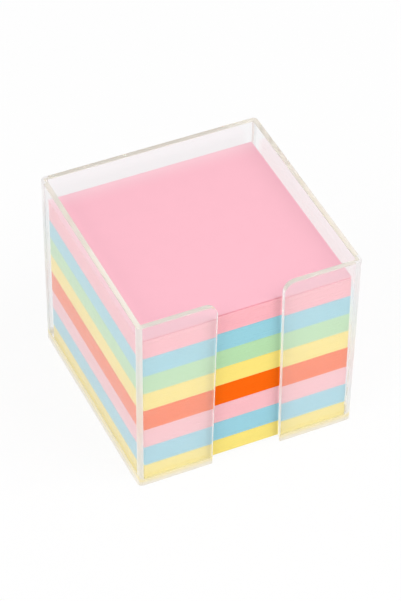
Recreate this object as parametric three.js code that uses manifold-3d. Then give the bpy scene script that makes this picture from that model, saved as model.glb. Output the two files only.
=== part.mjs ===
// A memo cube: a clear, open topped plastic box with a finger slot in its front, holding loose
// note paper in eight coloured batches. All sizes are in millimetres, +Z is up, the slot faces -Y,
// and the origin is the middle of the underside.
import * as THREE from "three";
import { mergeVertices } from "three/addons/utils/BufferGeometryUtils.js";
import Module from "manifold-3d";

const wasm = await Module();
wasm.setup();

// Note paper: one square sheet's cut size, and the air between layers that lie on each other.
const noteSide = 88;
const sheetThickness = 0.1;
const layerGap = 0.05;

// Room that the box leaves round the paper at its floor. The paper stands towards the front.
const leftClearance = 0.8;
const rightClearance = 0.4;
const frontClearance = 0.3;
const rearClearance = 2.7;

// Box: how far the rim stands over the full stack, the walls and the floor, and how far each wall
// leans outwards from the floor to the rim. The inner corners are sharper than the clearances.
const rimOverPaper = 8.2;
const wallThickness = 2.2;
const floorThickness = 1.8;
const sideDraft = 0.7;
const endDraft = 0.3;
const outerCornerRadius = 2;
const innerCornerRadius = 0.25;

// Finger slot: it runs down the whole front wall, a little wider below, and on into the floor.
const slotWidthAtRim = 27.9;
const slotWidthAtFloor = 29.8;
const slotTopRadius = 5;
const slotFloorReach = 8;
const slotFloorRadius = 2.5;

// How far a cut runs past the face that it opens.
const cutOverrun = 2;

// Faces along the quarter of a circle, on the box's corners and on the slot's.
const cornerSteps = 6;
const slotCornerSteps = 10;

// Batches from the floor up, by their number of sheets. The colours repeat, as in a mixed pack.
const batches = [
  { name: "yellow_batch_lower", sheets: 80, colour: 0xfbe26c },
  { name: "blue_batch_lower", sheets: 98, colour: 0x92d3e2 },
  { name: "pink_batch_lower", sheets: 96, colour: 0xfdb9cb },
  { name: "orange_batch", sheets: 105, colour: 0xff6a0c },
  { name: "yellow_batch_upper", sheets: 92, colour: 0xfde676 },
  { name: "green_batch", sheets: 92, colour: 0xaedfa3 },
  { name: "blue_batch_upper", sheets: 94, colour: 0x8dd0e2 },
  { name: "pink_batch_upper", sheets: 81, colour: 0xfebccb },
];

// The uppermost pink sheets, each a piece of its own, as they are taken off one by one.
const looseSheets = 12;
const looseSheetColour = 0xfebecd;

// The box is as high as its full stack needs, and its plan follows the paper.
const batchesHeight = batches.reduce((sum, { sheets }) => sum + sheets * sheetThickness + layerGap, 0);
const stackHeight = batchesHeight + looseSheets * (sheetThickness + layerGap);
const boxHeight = floorThickness + stackHeight + rimOverPaper;
const innerWidth = noteSide + leftClearance + rightClearance;
const innerDepth = noteSide + frontClearance + rearClearance;
const outerWidth = innerWidth + 2 * wallThickness;
const outerDepth = innerDepth + 2 * wallThickness;
const frontFace = -outerDepth / 2;
const frontInnerFace = -innerDepth / 2;

// How far a wall has leant outwards at a height, in X and in Y.
function leanAt(height) {
  const share = height / boxHeight;
  return { x: sideDraft * share, y: endDraft * share };
}

// A closed solid becomes one that can be cut and joined.
function toSolid(geometry) {
  const bare = geometry.clone();
  bare.deleteAttribute("normal");
  bare.deleteAttribute("uv");
  const merged = mergeVertices(bare);
  const vertProperties = new Float32Array(merged.attributes.position.array);
  const triVerts = new Uint32Array(merged.index.array);
  return new wasm.Manifold(new wasm.Mesh({ numProp: 3, vertProperties, triVerts }));
}

// The cut solid goes back to flat faced triangles.
function toGeometry(solid) {
  const mesh = solid.getMesh();
  const indexed = new THREE.BufferGeometry();
  indexed.setAttribute("position", new THREE.BufferAttribute(mesh.vertProperties, 3));
  indexed.setIndex(new THREE.BufferAttribute(mesh.triVerts, 1));
  const geometry = indexed.toNonIndexed();
  geometry.computeVertexNormals();
  return geometry;
}

// Points of a rectangle with round corners, anticlockwise, with the same count at any size.
function roundedPlan(width, depth, radius) {
  const corners = [
    [width / 2 - radius, depth / 2 - radius, 0],
    [radius - width / 2, depth / 2 - radius, Math.PI / 2],
    [radius - width / 2, radius - depth / 2, Math.PI],
    [width / 2 - radius, radius - depth / 2, 1.5 * Math.PI],
  ];
  return corners.flatMap(([x, y, start]) =>
    Array.from({ length: cornerSteps + 1 }, (_, step) => {
      const angle = start + (step / cornerSteps) * (Math.PI / 2);
      return new THREE.Vector2(x + radius * Math.cos(angle), y + radius * Math.sin(angle));
    }),
  );
}

// A solid between two plans with equally many points, the lower at one height, the upper at another.
function loftedBlock(lowerPlan, lowerHeight, upperPlan, upperHeight) {
  const count = lowerPlan.length;
  const positions = [
    ...lowerPlan.flatMap((point) => [point.x, point.y, lowerHeight]),
    ...upperPlan.flatMap((point) => [point.x, point.y, upperHeight]),
  ];
  const faces = [];
  for (let at = 0; at < count; at += 1) {
    const next = (at + 1) % count;
    faces.push(at, next, count + next);
    faces.push(at, count + next, count + at);
  }
  for (const [a, b, c] of THREE.ShapeUtils.triangulateShape(lowerPlan, [])) {
    faces.push(c, b, a);
    faces.push(count + a, count + b, count + c);
  }
  const geometry = new THREE.BufferGeometry();
  geometry.setAttribute("position", new THREE.Float32BufferAttribute(positions, 3));
  geometry.setIndex(faces);
  return geometry;
}

// The box before it is slotted: leaning walls of one thickness round the hollow for the paper.
function openBox() {
  const rim = leanAt(boxHeight);
  const outside = loftedBlock(
    roundedPlan(outerWidth, outerDepth, outerCornerRadius),
    0,
    roundedPlan(outerWidth + 2 * rim.x, outerDepth + 2 * rim.y, outerCornerRadius),
    boxHeight,
  );
  const low = leanAt(floorThickness);
  const high = leanAt(boxHeight + cutOverrun);
  const hollow = loftedBlock(
    roundedPlan(innerWidth + 2 * low.x, innerDepth + 2 * low.y, innerCornerRadius),
    floorThickness,
    roundedPlan(innerWidth + 2 * high.x, innerDepth + 2 * high.y, innerCornerRadius),
    boxHeight + cutOverrun,
  );
  return toSolid(outside).subtract(toSolid(hollow));
}

// The slot through the front wall, drawn in X and Z, with its mouth rounded out at the rim.
function slotThroughWall() {
  const half = slotWidthAtFloor / 2;
  const narrowing = (half - slotWidthAtRim / 2) / (boxHeight - floorThickness);
  const bendHeight = boxHeight - slotTopRadius;
  const halfAtBend = half - narrowing * (bendHeight - floorThickness);
  const bendCentre = halfAtBend + slotTopRadius;
  const top = boxHeight + cutOverrun;
  const outline = new THREE.Shape();
  outline.moveTo(-half, -cutOverrun);
  outline.lineTo(half, -cutOverrun);
  outline.lineTo(half, floorThickness);
  outline.lineTo(halfAtBend, bendHeight);
  outline.absarc(bendCentre, bendHeight, slotTopRadius, Math.PI, Math.PI / 2, true);
  outline.lineTo(bendCentre, top);
  outline.lineTo(-bendCentre, top);
  outline.absarc(-bendCentre, bendHeight, slotTopRadius, Math.PI / 2, 0, true);
  outline.lineTo(-half, floorThickness);
  const cut = new THREE.ExtrudeGeometry(outline, {
    depth: wallThickness + endDraft + frontClearance + cutOverrun,
    bevelEnabled: false,
    curveSegments: slotCornerSteps,
  });
  cut.rotateX(Math.PI / 2);
  cut.translate(0, frontInnerFace + frontClearance, 0);
  return toSolid(cut);
}

// The slot goes on into the floor, under the paper's front edge, with round inner corners.
function slotThroughFloor() {
  const half = slotWidthAtFloor / 2;
  const back = frontFace + slotFloorReach;
  const bendCentre = half - slotFloorRadius;
  const bendStart = back - slotFloorRadius;
  const outline = new THREE.Shape();
  outline.moveTo(-half, frontInnerFace);
  outline.lineTo(half, frontInnerFace);
  outline.lineTo(half, bendStart);
  outline.absarc(bendCentre, bendStart, slotFloorRadius, 0, Math.PI / 2, false);
  outline.lineTo(-bendCentre, back);
  outline.absarc(-bendCentre, bendStart, slotFloorRadius, Math.PI / 2, Math.PI, false);
  const cut = new THREE.ExtrudeGeometry(outline, {
    depth: floorThickness + 2 * cutOverrun,
    bevelEnabled: false,
    curveSegments: slotCornerSteps,
  });
  cut.translate(0, 0, -cutOverrun);
  return toSolid(cut);
}

function holderGeometry() {
  return toGeometry(openBox().subtract(slotThroughWall()).subtract(slotThroughFloor()));
}

// One layer of paper, a batch or a single sheet, on what lies below it. It keeps its distance
// from the leaning left wall, as paper does that has been pushed to that side.
function paperLayer(name, colour, bottom, height) {
  const left = leftClearance - innerWidth / 2 - leanAt(bottom).x;
  const front = frontClearance + frontInnerFace;
  const layer = new THREE.Mesh(
    new THREE.BoxGeometry(noteSide, noteSide, height),
    new THREE.MeshStandardMaterial({ color: colour, roughness: 0.9, metalness: 0 }),
  );
  layer.name = name;
  layer.position.set(left + noteSide / 2, front + noteSide / 2, bottom + height / 2);
  return layer;
}

const memoCube = new THREE.Group();

const holder = new THREE.Mesh(
  holderGeometry(),
  new THREE.MeshStandardMaterial({
    color: 0xf1f0e6,
    roughness: 0.06,
    metalness: 0,
    transparent: true,
    opacity: 0.3,
  }),
);
holder.name = "holder";
memoCube.add(holder);

let level = floorThickness + layerGap;
for (const { name, sheets, colour } of batches) {
  const height = sheets * sheetThickness;
  memoCube.add(paperLayer(name, colour, level, height));
  level += height + layerGap;
}
for (let number = 1; number <= looseSheets; number += 1) {
  memoCube.add(paperLayer(`pink_sheet_${number}`, looseSheetColour, level, sheetThickness));
  level += sheetThickness + layerGap;
}

export default memoCube;
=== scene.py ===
# A memo cube: a clear, open topped box with a finger slot down its front, full of loose note paper
# in eight coloured batches. Lengths in the dictionaries are in millimetres unless they say otherwise.
import math
import bpy
from mathutils import Matrix, Vector


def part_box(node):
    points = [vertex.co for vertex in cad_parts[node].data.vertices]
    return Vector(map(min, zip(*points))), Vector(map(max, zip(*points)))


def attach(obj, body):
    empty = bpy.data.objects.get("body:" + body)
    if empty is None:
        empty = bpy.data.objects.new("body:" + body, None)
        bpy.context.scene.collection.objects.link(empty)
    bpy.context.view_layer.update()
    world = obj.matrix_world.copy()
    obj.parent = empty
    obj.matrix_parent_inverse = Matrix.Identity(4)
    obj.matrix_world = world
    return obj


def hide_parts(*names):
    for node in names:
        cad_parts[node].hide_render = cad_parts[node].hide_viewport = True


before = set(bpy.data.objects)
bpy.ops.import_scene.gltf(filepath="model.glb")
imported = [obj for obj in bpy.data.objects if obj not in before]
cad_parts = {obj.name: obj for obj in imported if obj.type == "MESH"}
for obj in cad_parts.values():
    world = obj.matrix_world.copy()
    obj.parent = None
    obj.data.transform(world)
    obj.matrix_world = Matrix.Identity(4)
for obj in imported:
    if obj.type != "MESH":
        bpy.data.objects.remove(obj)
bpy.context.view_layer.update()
mm = 0.001
print("frame loaded:", len(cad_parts), "nodes")


# Camera, at the photograph's viewing angle. Degrees are from the front and up from the desk.
camera = {
    "azimuth": -25.43,
    "elevation": 42.87,
    "roll": 1.01,
    "distance": 1127.86,
    "aimHeight": 45,
    "moveRight": 1.07,
    "moveUp": -1.86,
    "lens": 168.83,
    "sensor": 36,
    "clipEnd": 50000,
}
lightBounces = 64  # light goes to and fro inside the clear walls many times before it comes out


def newObject(name, data):
    made = bpy.data.objects.new(name, data)
    bpy.context.scene.collection.objects.link(made)
    return made


def towards(azimuth, elevation):
    # the way to something that stands at these degrees round and above the middle
    turn = math.radians(azimuth)
    rise = math.radians(elevation)
    return Vector((math.sin(turn) * math.cos(rise), -math.cos(turn) * math.cos(rise), math.sin(rise)))


def placeCamera(view):
    data = bpy.data.cameras.new("camera")
    data.lens = view["lens"]
    data.sensor_width = view["sensor"]
    data.clip_end = view["clipEnd"] * mm
    back = towards(view["azimuth"], view["elevation"])
    level = Vector((0, 0, 1)).cross(back).normalized()
    right = Matrix.Rotation(math.radians(view["roll"]), 3, back) @ level
    up = back.cross(right)
    aim = Vector((0, 0, view["aimHeight"])) + right * view["moveRight"] + up * view["moveUp"]
    facing = Matrix((right, up, back)).transposed().to_4x4()
    eye = newObject("camera", data)
    eye.matrix_world = Matrix.Translation((aim + back * view["distance"]) * mm) @ facing
    bpy.context.scene.camera = eye


placeCamera(camera)
bpy.context.scene.view_settings.view_transform = "Standard"
for limit in ("max_bounces", "glossy_bounces", "transmission_bounces"):
    setattr(bpy.context.scene.cycles, limit, lightBounces)
print("camera placed")


class Wire:
    # one output socket, so that 1 - mask or grain * 0.1 adds its own Math node
    def __init__(self, nodes, socket):
        self.nodes = nodes
        self.socket = socket

    def sums(self, operation, first, second):
        return self.nodes.add("ShaderNodeMath", {"operation": operation}, {0: first, 1: second})

    def __add__(self, other):
        return self.sums("ADD", self, other)

    def __radd__(self, other):
        return self.sums("ADD", other, self)

    def __sub__(self, other):
        return self.sums("SUBTRACT", self, other)

    def __rsub__(self, other):
        return self.sums("SUBTRACT", other, self)

    def __mul__(self, other):
        return self.sums("MULTIPLY", self, other)

    def __rmul__(self, other):
        return self.sums("MULTIPLY", other, self)

    def __abs__(self):
        return self.sums("ABSOLUTE", self, 0)

    def over(self, limit):
        # 1 where the value is greater than the limit, or else 0
        return self.sums("GREATER_THAN", self, limit)

    def either(self, other):
        # 1 where one of two masks is 1
        return self.sums("MAXIMUM", self, other)


class Nodes:
    # the node tree of a material, of the world or of a Geometry Nodes group
    def __init__(self, tree):
        self.tree = tree

    def add(self, kind, settings={}, inputs={}, output=0):
        node = self.tree.nodes.new(kind)
        for name, value in settings.items():
            if name == "stops":
                self.setStops(node.color_ramp.elements, value)
            else:
                setattr(node, name, value)
        for name, value in inputs.items():
            if isinstance(value, Wire):
                self.tree.links.new(value.socket, node.inputs[name])
            else:
                node.inputs[name].default_value = value
        return Wire(self, node.outputs[output]) if node.outputs else None

    def setStops(self, elements, stops):
        while len(elements) < len(stops):
            elements.new(1)
        for element, (position, value) in zip(elements, stops):
            element.position = position
            element.color = (value, value, value, 1)

    def mixColours(self, factor, first, second, blend="MIX"):
        # inputs 6 and 7 and output 2 are the Mix node's colours
        return self.add(
            "ShaderNodeMix",
            {"data_type": "RGBA", "blend_type": blend},
            {0: factor, 6: first, 7: second},
            output=2,
        )

    def mixShaders(self, factor, first, second):
        return self.add("ShaderNodeMixShader", {}, {0: factor, 1: first, 2: second})

    def lightPath(self, name):
        return self.add("ShaderNodeLightPath", output=name)

    def vectors(self, operation, first, second):
        return self.add("ShaderNodeVectorMath", {"operation": operation}, {0: first, 1: second})

    def axis(self, vector, name):
        return self.add("ShaderNodeSeparateXYZ", {}, {0: vector}, output=name)

    def mapRange(self, value, start, end, top=1):
        # 0 where the value is at the start, and from there evenly to the top at the end
        return self.add("ShaderNodeMapRange", {}, {0: value, 1: start, 2: end, 4: top})

    def place(self, stretch=(1, 1, 1)):
        # where a point lies on its piece, in millimetres, stretched for a grain that runs one way
        point = self.add("ShaderNodeTexCoord", output="Object")
        return self.vectors("MULTIPLY", point, [share / mm for share in stretch])

    def noise(self, point, scale, detail=2, roughness=0.5):
        return self.add(
            "ShaderNodeTexNoise",
            {},
            {"Vector": point, "Scale": scale, "Detail": detail, "Roughness": roughness},
        )

    def bump(self, strength, depth, height):
        return self.add(
            "ShaderNodeBump",
            {},
            {"Strength": strength, "Distance": depth * mm, "Height": height},
        )


def newMaterial(name):
    material = bpy.data.materials.new(name)
    material.use_nodes = True
    material.node_tree.nodes.clear()
    return material, Nodes(material.node_tree)


def fromHex(text):
    # a colour as it is seen, made linear for a shader
    shares = [int(text[at : at + 2], 16) / 255 for at in (0, 2, 4)]
    return tuple(((share + 0.055) / 1.055) ** 2.4 for share in shares) + (1,)


# Floor and surroundings: white to the camera, to mirrors and through glass, plain grey as a light.
studio = {
    "floorSize": 6000,
    "floorGap": 0.05,  # keeps the floor clear of the box's flat underside
    "floorColour": (0.93, 0.93, 0.93, 1),
    "floorGlow": 0.92,  # how much of what is seen of the floor is plain white, the rest is shaded
    "skyLight": 0.5,
    "zenith": 0.8,  # how bright mirrors see the top of the surroundings
    "dimFrom": 0.25,  # sines of the elevations between which they dim from white to that
    "dimTo": 0.75,
}


def seenShare(nodes):
    # 1 for what the camera sees directly, mirrored or through glass, and 0 for what lights the object
    seen = nodes.lightPath("Is Camera Ray")
    for name in ("Is Glossy Ray", "Is Transmission Ray"):
        seen = seen.either(nodes.lightPath(name))
    return seen


def makeFloor(room):
    half = room["floorSize"] * mm / 2
    level = -room["floorGap"] * mm
    mesh = bpy.data.meshes.new("floor")
    corners = [(x * half, y * half, level) for x, y in ((-1, -1), (1, -1), (1, 1), (-1, 1))]
    mesh.from_pydata(corners, [], [(0, 1, 2, 3)])
    floor = newObject("floor", mesh)
    material, nodes = newMaterial("white_floor")
    lit = nodes.add("ShaderNodeBsdfDiffuse", {}, {"Color": room["floorColour"]})
    white = nodes.add("ShaderNodeEmission", {}, {"Strength": 1})
    surface = nodes.mixShaders(seenShare(nodes) * room["floorGlow"], lit, white)
    nodes.add("ShaderNodeOutputMaterial", {}, {"Surface": surface})
    mesh.materials.append(material)


def makeWorld(room):
    world = bpy.data.worlds.new("surroundings")
    world.use_nodes = True
    world.node_tree.nodes.clear()
    nodes = Nodes(world.node_tree)
    height = nodes.axis(nodes.add("ShaderNodeTexCoord", output="Generated"), "Z")
    stops = [(room["dimFrom"], 1), (room["dimTo"], room["zenith"])]
    seen = nodes.add("ShaderNodeValToRGB", {"stops": stops}, {0: height})
    light = nodes.add("ShaderNodeBackground", {}, {"Color": (1, 1, 1, 1), "Strength": room["skyLight"]})
    show = nodes.add("ShaderNodeBackground", {}, {"Color": seen, "Strength": 1})
    surface = nodes.mixShaders(seenShare(nodes), light, show)
    nodes.add("ShaderNodeOutputWorld", {}, {"Surface": surface})
    bpy.context.scene.world = world


# Soft lamps, all turned to one point. Sizes and distances are in metres, and power in watts.
lamps = {
    "key": {"azimuth": 48, "elevation": 45, "distance": 1.6, "size": 1.1, "power": 14},
    "fill": {"azimuth": -75, "elevation": 30, "distance": 1.8, "size": 1.2, "power": 14.5},
}
lampAim = (0, 0, 0.04)


def makeLamps(table, aim):
    for name, lamp in table.items():
        data = bpy.data.lights.new(name, "AREA")
        data.shape = "SQUARE"
        data.size = lamp["size"]
        data.energy = lamp["power"]
        way = towards(lamp["azimuth"], lamp["elevation"])
        place = Matrix.Translation(Vector(aim) + way * lamp["distance"])
        newObject(name, data).matrix_world = place @ way.to_track_quat("Z", "Y").to_matrix().to_4x4()


makeFloor(studio)
makeWorld(studio)
makeLamps(lamps, lampAim)
print("floor, surroundings and lamps made")


# Note paper: the colour of each batch's faces and of its cut edges.
paperColours = {
    "yellow_batch_lower": ("f9e684", "f8e683"),
    "blue_batch_lower": ("a0d5e4", "9ed3e1"),
    "pink_batch_lower": ("fac3cd", "f7c0c6"),
    "orange_batch": ("fb7010", "fa6b00"),
    "yellow_batch_upper": ("fbe784", "fae580"),
    "green_batch": ("bce2b5", "bae0b2"),
    "blue_batch_upper": ("9fd5e3", "9cd3df"),
    "pink_batch_upper": ("fbc0cc", "fab8c0"),
}
paperGrain = {
    "fibre": 0.45,  # width of a fibre
    "fibreTone": 0.05,
    "cloud": 7,  # width of the cloudy patches in a sheet
    "cloudTone": 0.03,
    "sheetTone": 0.06,  # how far the cut edges differ from sheet to sheet
    "sheetStretch": (0.02, 0.02, 8),  # that tone hardly changes along a sheet, and soon across it
    "roughness": 0.82,
    "fibreRoughness": 0.1,
    "bump": 0.3,
    "relief": 0.012,
    "gloss": 0.1,
}


def swing(noise, width):
    # a noise from 0 to 1 becomes one of this width about 0
    return (noise - 0.5) * width


def paperMaterial(name, face, edge, grain, paintedRearLight=None):
    # the last argument names a paler colour painted towards the rear edge, a painted pool of light from
    # the rear wall, and the places between which it comes in
    material, nodes = newMaterial(name)
    fibres = nodes.noise(nodes.place(), 1 / grain["fibre"], detail=3, roughness=0.6)
    clouds = nodes.noise(nodes.place(), 1 / grain["cloud"])
    sheets = nodes.noise(nodes.place(grain["sheetStretch"]), 1, detail=1)
    upright = nodes.axis(nodes.add("ShaderNodeNewGeometry", output="Normal"), "Z")
    onFace = upright * upright
    tone = 1 + swing(fibres, grain["fibreTone"]) + swing(clouds, grain["cloudTone"])
    tone = tone + swing(sheets, grain["sheetTone"]) * (1 - onFace)
    colour = fromHex(face)
    if paintedRearLight:
        share = nodes.mapRange(nodes.axis(nodes.place(), "Y"), paintedRearLight["from"], paintedRearLight["to"])
        colour = nodes.mixColours(share * share, colour, fromHex(paintedRearLight["colour"]))
    colour = nodes.mixColours(onFace, fromHex(edge), colour)
    grey = nodes.add("ShaderNodeCombineColor", {}, {0: tone, 1: tone, 2: tone})
    surface = nodes.add(
        "ShaderNodeBsdfPrincipled",
        {},
        {
            "Base Color": nodes.mixColours(1, colour, grey, blend="MULTIPLY"),
            "Roughness": grain["roughness"] + fibres * grain["fibreRoughness"],
            "Specular IOR Level": grain["gloss"],
            "Normal": nodes.bump(grain["bump"], grain["relief"], fibres),
        },
    )
    nodes.add("ShaderNodeOutputMaterial", {}, {"Surface": surface})
    return material


# A batch: a stack of single sheets, a little out of line with each other, as they are in a cut block.
stack = {
    "sheet": 0.1,
    "air": 0.004,
    "wander": 0.1,  # slow drift of the edges up through a batch
    "wanderTurn": 9,  # sheets to one swing of that drift
    "seedStep": 17.3,  # how far apart the batches' drifts begin
    "slip": 0.02,  # how far one sheet lies out of line
    "twist": 0.0003,  # radians
}


def scatter(nodes, reach, seed):
    # a random vector for each sheet, up to this far either way
    return nodes.add(
        "FunctionNodeRandomValue",
        {"data_type": "FLOAT_VECTOR"},
        {0: [-part for part in reach], 1: reach, "Seed": seed},
    )


def stackTree(sizes):
    # a Geometry Nodes group that lays sheets on each other from the bottom one upwards
    tree = bpy.data.node_groups.new("sheet_stack", "GeometryNodeTree")
    sockets = (
        ("Sheets", "NodeSocketInt"),
        ("Size", "NodeSocketVector"),
        ("Pitch", "NodeSocketFloat"),
        ("Bottom", "NodeSocketVector"),
        ("Seed", "NodeSocketInt"),
        ("Material", "NodeSocketMaterial"),
    )
    for name, kind in sockets:
        tree.interface.new_socket(name, in_out="INPUT", socket_type=kind)
    tree.interface.new_socket("Geometry", in_out="OUTPUT", socket_type="NodeSocketGeometry")
    nodes = Nodes(tree)
    given = {name: nodes.add("NodeGroupInput", output=name) for name, _ in sockets}
    step = nodes.add("ShaderNodeCombineXYZ", {}, {"Z": given["Pitch"]})
    line = nodes.add(
        "GeometryNodeMeshLine",
        {},
        {"Count": given["Sheets"], "Start Location": given["Bottom"], "Offset": step},
    )
    sheet = nodes.add("GeometryNodeMeshCube", {}, {"Size": given["Size"]})
    number = nodes.add("GeometryNodeInputIndex")
    along = given["Seed"] * sizes["seedStep"] + number * (1 / sizes["wanderTurn"])
    drift = nodes.add(
        "ShaderNodeTexNoise",
        {"noise_dimensions": "1D"},
        {"W": along, "Scale": 1, "Detail": 1},
        output="Color",
    )
    centred = nodes.vectors("SUBTRACT", drift, (0.5, 0.5, 0.5))
    width = 2 * sizes["wander"] * mm
    wandered = nodes.vectors("MULTIPLY", centred, (width, width, 0))
    slipped = scatter(nodes, (sizes["slip"] * mm, sizes["slip"] * mm, 0), given["Seed"])
    moved = nodes.vectors("ADD", wandered, slipped)
    placed = nodes.add("GeometryNodeSetPosition", {}, {"Geometry": line, "Offset": moved})
    twist = scatter(nodes, (0, 0, sizes["twist"]), given["Seed"])
    laid = nodes.add(
        "GeometryNodeInstanceOnPoints",
        {},
        {"Points": placed, "Instance": sheet, "Rotation": twist},
    )
    real = nodes.add("GeometryNodeRealizeInstances", {}, {"Geometry": laid})
    done = nodes.add("GeometryNodeSetMaterial", {}, {"Geometry": real, "Material": given["Material"]})
    nodes.add("NodeGroupOutput", {}, {"Geometry": done})
    return tree


def asMesh(name, carrier):
    # the evaluated result becomes a plain mesh object, and what carried the modifiers goes
    evaluated = carrier.evaluated_get(bpy.context.evaluated_depsgraph_get())
    mesh = bpy.data.meshes.new_from_object(evaluated)
    bpy.data.objects.remove(carrier)
    return newObject(name, mesh)


def makeBatch(tree, node, material, seed, sizes):
    low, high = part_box(node)
    size = high - low
    sheets = round(size.z / (sizes["sheet"] * mm))
    pitch = size.z / sheets
    carrier = newObject(node + "_carrier", bpy.data.meshes.new("empty"))
    modifier = carrier.modifiers.new("stack", "NODES")
    modifier.node_group = tree
    values = {
        "Sheets": sheets,
        "Size": (size.x, size.y, pitch - sizes["air"] * mm),
        "Pitch": pitch,
        "Bottom": ((low.x + high.x) / 2, (low.y + high.y) / 2, low.z + pitch / 2),
        "Seed": seed,
        "Material": material,
    }
    for item in tree.interface.items_tree:
        if item.name in values:
            modifier[item.identifier] = values[item.name]
    bpy.context.view_layer.update()
    piece = asMesh(node + "_sheets", carrier)
    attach(piece, node)
    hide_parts(node)
    return piece


stackGroup = stackTree(stack)
for seed, (node, (face, edge)) in enumerate(paperColours.items(), start=1):
    material = paperMaterial(node + "_paper", face, edge, paperGrain)
    makeBatch(stackGroup, node, material, seed, stack)
print("batches of paper stacked")


# The loose sheets on top. Some below the uppermost lie back, so that a dark line shows under it.
looseSheet = {
    "face": "fbbdcb",
    "edge": "fbb8c0",
    # painted light: the loose sheets are paler towards the rear edge, where the rear wall throws light
    # on them
    "paintedRearLight": {"colour": "fcccd6", "from": 33, "to": 42},
    "cells": 16,
    "curl": 0.12,  # how far the uppermost sheet's front corners stand up
    "overhang": 0.1,  # how far the uppermost sheet lies over the front of the stack
    "turn": 0.1,  # degrees that the uppermost sheet is turned by
    "gather": 9,  # the higher, the fewer sheets below it join in
    "laidBack": (8, 11),  # the first and the last of the sheets that lie back
    "back": 0.45,
}


def sheetMesh(name, low, high, curl, shift, turn, cells):
    # a thin closed sheet, shifted forwards and turned, whose front corners stand up by curl
    steps = range(cells + 1)
    middle = (low + high) / 2
    size = high - low
    turned = Matrix.Rotation(turn, 3, "Z")
    corners = []
    for bottom in (low.z, high.z):
        for row in steps:
            for column in steps:
                x = column / cells - 0.5  # both run from -0.5 to 0.5 over the sheet
                y = row / cells - 0.5
                rise = curl * (2 * x) ** 2 * (0.5 - y) ** 2
                place = turned @ Vector((x * size.x, y * size.y, 0))
                corners.append((middle.x + place.x, middle.y + place.y - shift, bottom + rise))
    width = cells + 1
    half = width * width
    faces = []
    for row in range(cells):
        for column in range(cells):
            at = row * width + column
            faces.append((at, at + width, at + width + 1, at + 1))
            faces.append((half + at, half + at + 1, half + at + width + 1, half + at + width))
    for at in range(cells):
        front = (at, at + 1)
        rear = (cells * width + at + 1, cells * width + at)
        left = ((at + 1) * width, at * width)
        right = (at * width + cells, (at + 1) * width + cells)
        for a, b in (front, rear, left, right):
            faces.append((a, b, half + b, half + a))
    mesh = bpy.data.meshes.new(name)
    mesh.from_pydata(corners, [], faces)
    return mesh


def makeLooseSheets(sheet):
    face, edge, paintedRearLight = (sheet[name] for name in ("face", "edge", "paintedRearLight"))
    material = paperMaterial("loose_pink_paper", face, edge, paperGrain, paintedRearLight)
    names = [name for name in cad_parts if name.startswith("pink_sheet_")]
    names.sort(key=lambda name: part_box(name)[0].z)
    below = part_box("pink_batch_upper")[1].z
    for number, node in enumerate(names, start=1):
        low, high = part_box(node)
        low.z = below + stack["air"] * mm
        below = high.z
        share = (number / len(names)) ** sheet["gather"]
        curl = share * sheet["curl"] * mm
        shift = share * sheet["overhang"] * mm
        if sheet["laidBack"][0] <= number <= sheet["laidBack"][1]:
            shift = -sheet["back"] * mm
        turn = share * math.radians(sheet["turn"])
        mesh = sheetMesh(node + "_paper", low, high, curl, shift, turn, sheet["cells"])
        mesh.materials.append(material)
        piece = newObject(node + "_paper", mesh)
        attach(piece, node)
        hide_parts(node)


makeLooseSheets(looseSheet)
print("loose sheets laid")


# The clear box, with its rims and cut edges broken and its walls faintly scuffed and wavy.
clearBox = {
    "edgeBreak": 0.4,
    "edgeSteps": 3,
    "sharpFrom": 40,  # degrees from which an edge is broken
    "flatTo": 0.5,  # degrees up to which faces become one
    "weld": 0.002,
    "roughness": 0.015,
    "scuff": 0.03,
    "scuffsPerMm": 1.3,
    "ripplesPerMm": 0.09,
    "rippleDepth": 0.2,
}
# Its faces by kind: the index of refraction, how milky each is and how much of that lets light through,
# how wavy it is, how much of the lamps' light it lets past, and its colour. The milk is a faint haze on
# the walls, but on the rims, the slot's edges and the upright corner it is painted light: cream and
# white standing in for light piped along inside the clear plastic, and a painted highlight along the
# slot's edges. The underside is wetted by the desk that it stands on.
clearFaces = {
    "wall": {"index": 1.49, "hazeAndPaintedLight": 0.04, "past": 0.2, "wave": 0.02, "passes": 0.975, "tint": "fbfbfc"},
    "side": {"index": 1.38, "hazeAndPaintedLight": 0.01, "past": 0.2, "wave": 0.02, "passes": 0.99, "tint": "fafafa"},
    "flange": {"index": 1.49, "hazeAndPaintedLight": 0.09, "past": 0.2, "wave": 0.02, "passes": 0.99, "tint": "ffffff"},
    # painted light: the milk of the rim, edge and corner kinds stands in for light piped through the
    # clear plastic
    "rim": {"index": 1.49, "hazeAndPaintedLight": 0.65, "past": 0.3, "wave": 0, "passes": 0.5, "tint": "f9f5e9"},
    "edge": {"index": 1.49, "hazeAndPaintedLight": 0.75, "past": 0.5, "wave": 0, "passes": 0.35, "tint": "fdfbf9"},
    "corner": {"index": 1.49, "hazeAndPaintedLight": 0.8, "past": 0.4, "wave": 0, "passes": 0.8, "tint": "faf7f2"},
    "under": {"index": 1, "hazeAndPaintedLight": 0, "past": 0, "wave": 0, "passes": 0.99, "tint": "ffffff"},
}
# How the kinds are told apart: by where the middle of a face lies, and by the parts of its normal.
faceTests = {
    "rimBreaks": 1.2,  # the rim reaches down from the top by this many times the edge break
    "slotReach": 19,  # the slot's edges are nearer to the middle than this
    "slotBend": 80,  # a height just below where they turn outwards
    "bent": 0.3,  # and above it they are rim where they point up by more than this
    "cornerReach": 40,  # the upright corners are farther from the middle than this
    "turned": 0.1,  # they point by more than this along both X and Y
    "level": 0.5,  # and by less than this up or down
    "square": 0.9,  # what points along an axis does so by more than this
}
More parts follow.
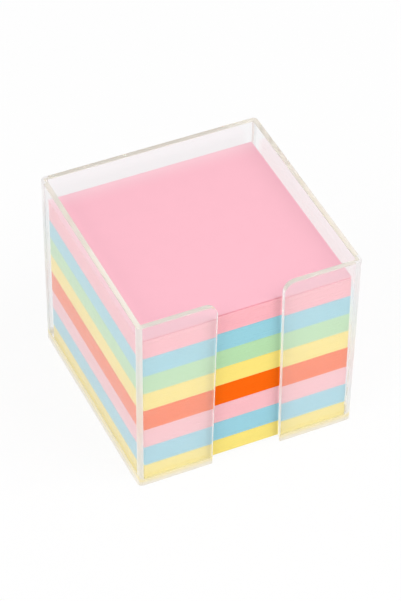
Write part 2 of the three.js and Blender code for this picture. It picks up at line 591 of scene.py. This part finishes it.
# Where the box is thicker than a wall, painted light lies on its outside as milk: round the floor plate,
# a cream glow for light piped through the plate, yellower towards the paper as painted light from the
# yellow paper, and at two opposite upright corners, the posts, a painted grey for the surroundings seen
# through them.
paintedLightMilk = {
    "roughness": 0.35,
    "outX": 46.4,  # nothing nearer to the middle than these is an outer face
    "outY": 46.9,
    "footFull": 2.8,  # height up to which the foot is fully milky
    "footGone": 4.8,
    "footRise": 1.5,  # how much higher it reaches on the side walls
    "footPaintedLight": 0.85,
    "footPast": 0.15,
    "footLow": "f1ebdf",
    # painted light: the yellow of the paper, as if piped down through the floor plate
    "footHigh": "f5e6ae",
    "postX": 44.3,  # the posts begin this far from the middle
    "postY": 43.9,
    "postPaintedLight": 0.95,
    "postPast": 0.3,
    # painted grey: the surroundings as seen through a clear corner
    "post": "f3f3f2",
}


def milkAndPaintedLight(nodes, colour, past, paintedMilk):
    # cloudy plastic, which scatters this share of the light on through it: a faint haze on the walls,
    # and painted light where it stands in for light piped through the clear plastic
    linear = fromHex(colour)
    off = nodes.add(
        "ShaderNodeBsdfPrincipled",
        {},
        {"Base Color": linear, "Roughness": paintedMilk["roughness"]},
    )
    through = nodes.add("ShaderNodeBsdfTranslucent", {}, {"Color": linear})
    return nodes.mixShaders(past, off, through)


def clearPlastic(nodes, look, box, paintedMilk):
    scuffs = nodes.noise(nodes.place(), box["scuffsPerMm"], detail=4, roughness=0.7)
    ripples = nodes.noise(nodes.place(), box["ripplesPerMm"], detail=1)
    clear = nodes.add(
        "ShaderNodeBsdfPrincipled",
        {},
        {
            "Base Color": fromHex(look["tint"]),
            "Roughness": box["roughness"] + scuffs * box["scuff"],
            "IOR": look["index"],
            "Transmission Weight": 1,
            "Normal": nodes.bump(look["wave"], box["rippleDepth"], ripples),
        },
    )
    return nodes.mixShaders(look["hazeAndPaintedLight"], clear, milkAndPaintedLight(nodes, look["tint"], look["past"], paintedMilk))


def addPaintedLightMilk(nodes, plastic, paintedMilk):
    # painted light on the posts and the foot, on the outer faces alone
    place = nodes.place()
    x, y, height = (nodes.axis(place, name) for name in "XYZ")
    farX = abs(x)
    farY = abs(y)
    onSide = farX.over(paintedMilk["outX"])
    outside = onSide.either(farY.over(paintedMilk["outY"]))
    opposite = 1 - (x * y).over(0)
    post = farX.over(paintedMilk["postX"]) * farY.over(paintedMilk["postY"]) * opposite * paintedMilk["postPaintedLight"]
    grey = milkAndPaintedLight(nodes, paintedMilk["post"], paintedMilk["postPast"], paintedMilk)
    plastic = nodes.mixShaders(post * outside, plastic, grey)
    height = height - onSide * paintedMilk["footRise"]
    foot = nodes.mapRange(height, paintedMilk["footGone"], paintedMilk["footFull"], paintedMilk["footPaintedLight"])
    climb = nodes.mapRange(height, 0, paintedMilk["footFull"])
    low, high = (milkAndPaintedLight(nodes, paintedMilk[end], paintedMilk["footPast"], paintedMilk) for end in ("footLow", "footHigh"))
    return nodes.mixShaders(foot * outside, plastic, nodes.mixShaders(climb * climb, low, high))


def letLightPast(nodes, surface, share):
    # light that falls on what stands behind the plastic goes straight through, dimmed to this share
    through = nodes.add("ShaderNodeBsdfTransparent", {}, {"Color": (share, share, share, 1)})
    for ray in ("Is Diffuse Ray", "Is Shadow Ray"):
        surface = nodes.mixShaders(nodes.lightPath(ray), surface, through)
    return surface


def clearMaterial(kind, look, box, paintedMilk):
    material, nodes = newMaterial("clear_" + kind)
    plastic = addPaintedLightMilk(nodes, clearPlastic(nodes, look, box, paintedMilk), paintedMilk)
    surface = letLightPast(nodes, plastic, look["passes"])
    nodes.add("ShaderNodeOutputMaterial", {}, {"Surface": surface})
    return material


def boxCarrier(box):
    # a merged copy of the frame's own box, so that its walls, leans and slot are the same
    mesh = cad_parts["holder"].data.copy()
    mesh.materials.clear()
    # its normals and sharp edges would spoil the shading of the rounded edges
    for name in ("custom_normal", "sharp_edge", "sharp_face"):
        if name in mesh.attributes:
            mesh.attributes.remove(mesh.attributes[name])
    mesh.shade_smooth()
    carrier = newObject("box_carrier", mesh)
    weld = carrier.modifiers.new("weld", "WELD")
    weld.merge_threshold = box["weld"] * mm
    flat = carrier.modifiers.new("flat", "DECIMATE")
    flat.decimate_type = "DISSOLVE"
    flat.angle_limit = math.radians(box["flatTo"])
    bevel = carrier.modifiers.new("bevel", "BEVEL")
    bevel.width = box["edgeBreak"] * mm
    bevel.segments = box["edgeSteps"]
    bevel.limit_method = "ANGLE"
    bevel.angle_limit = math.radians(box["sharpFrom"])
    carrier.modifiers.new("flat_walls", "WEIGHTED_NORMAL")
    bpy.context.view_layer.update()
    return carrier


def kindOf(face, rim, frontInside, tests):
    # what lies above rim is rim, and what lies before frontInside is front wall
    centre = face.center
    across, along, up = abs(face.normal.x), abs(face.normal.y), face.normal.z
    inFront = centre.y < frontInside
    inSlot = inFront and abs(centre.x) < tests["slotReach"] * mm and along < tests["square"]
    bentOut = centre.z > tests["slotBend"] * mm and up > tests["bent"]
    turned = abs(up) < tests["level"] and min(across, along) > tests["turned"]
    if centre.z > rim or inSlot and bentOut:
        return "rim"
    if up < -tests["square"]:
        return "under"
    if inSlot:
        return "edge"
    if turned and abs(centre.x) > tests["cornerReach"] * mm:
        return "corner"
    if across > tests["square"]:
        return "side"
    return "flange" if inFront else "wall"


def makeBox(box, looks, tests, paintedMilk):
    piece = asMesh("clear_box", boxCarrier(box))
    for kind, look in looks.items():
        piece.data.materials.append(clearMaterial(kind, look, box, paintedMilk))
    kinds = list(looks)
    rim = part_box("holder")[1].z - box["edgeBreak"] * mm * tests["rimBreaks"]
    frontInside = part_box("pink_batch_upper")[0].y  # the paper lies close behind the front wall
    for face in piece.data.polygons:
        face.material_index = kinds.index(kindOf(face, rim, frontInside, tests))
    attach(piece, "holder")
    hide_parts("holder")
    return piece


boxPiece = makeBox(clearBox, clearFaces, faceTests, paintedLightMilk)
print("clear box made:", len(boxPiece.data.polygons), "faces")
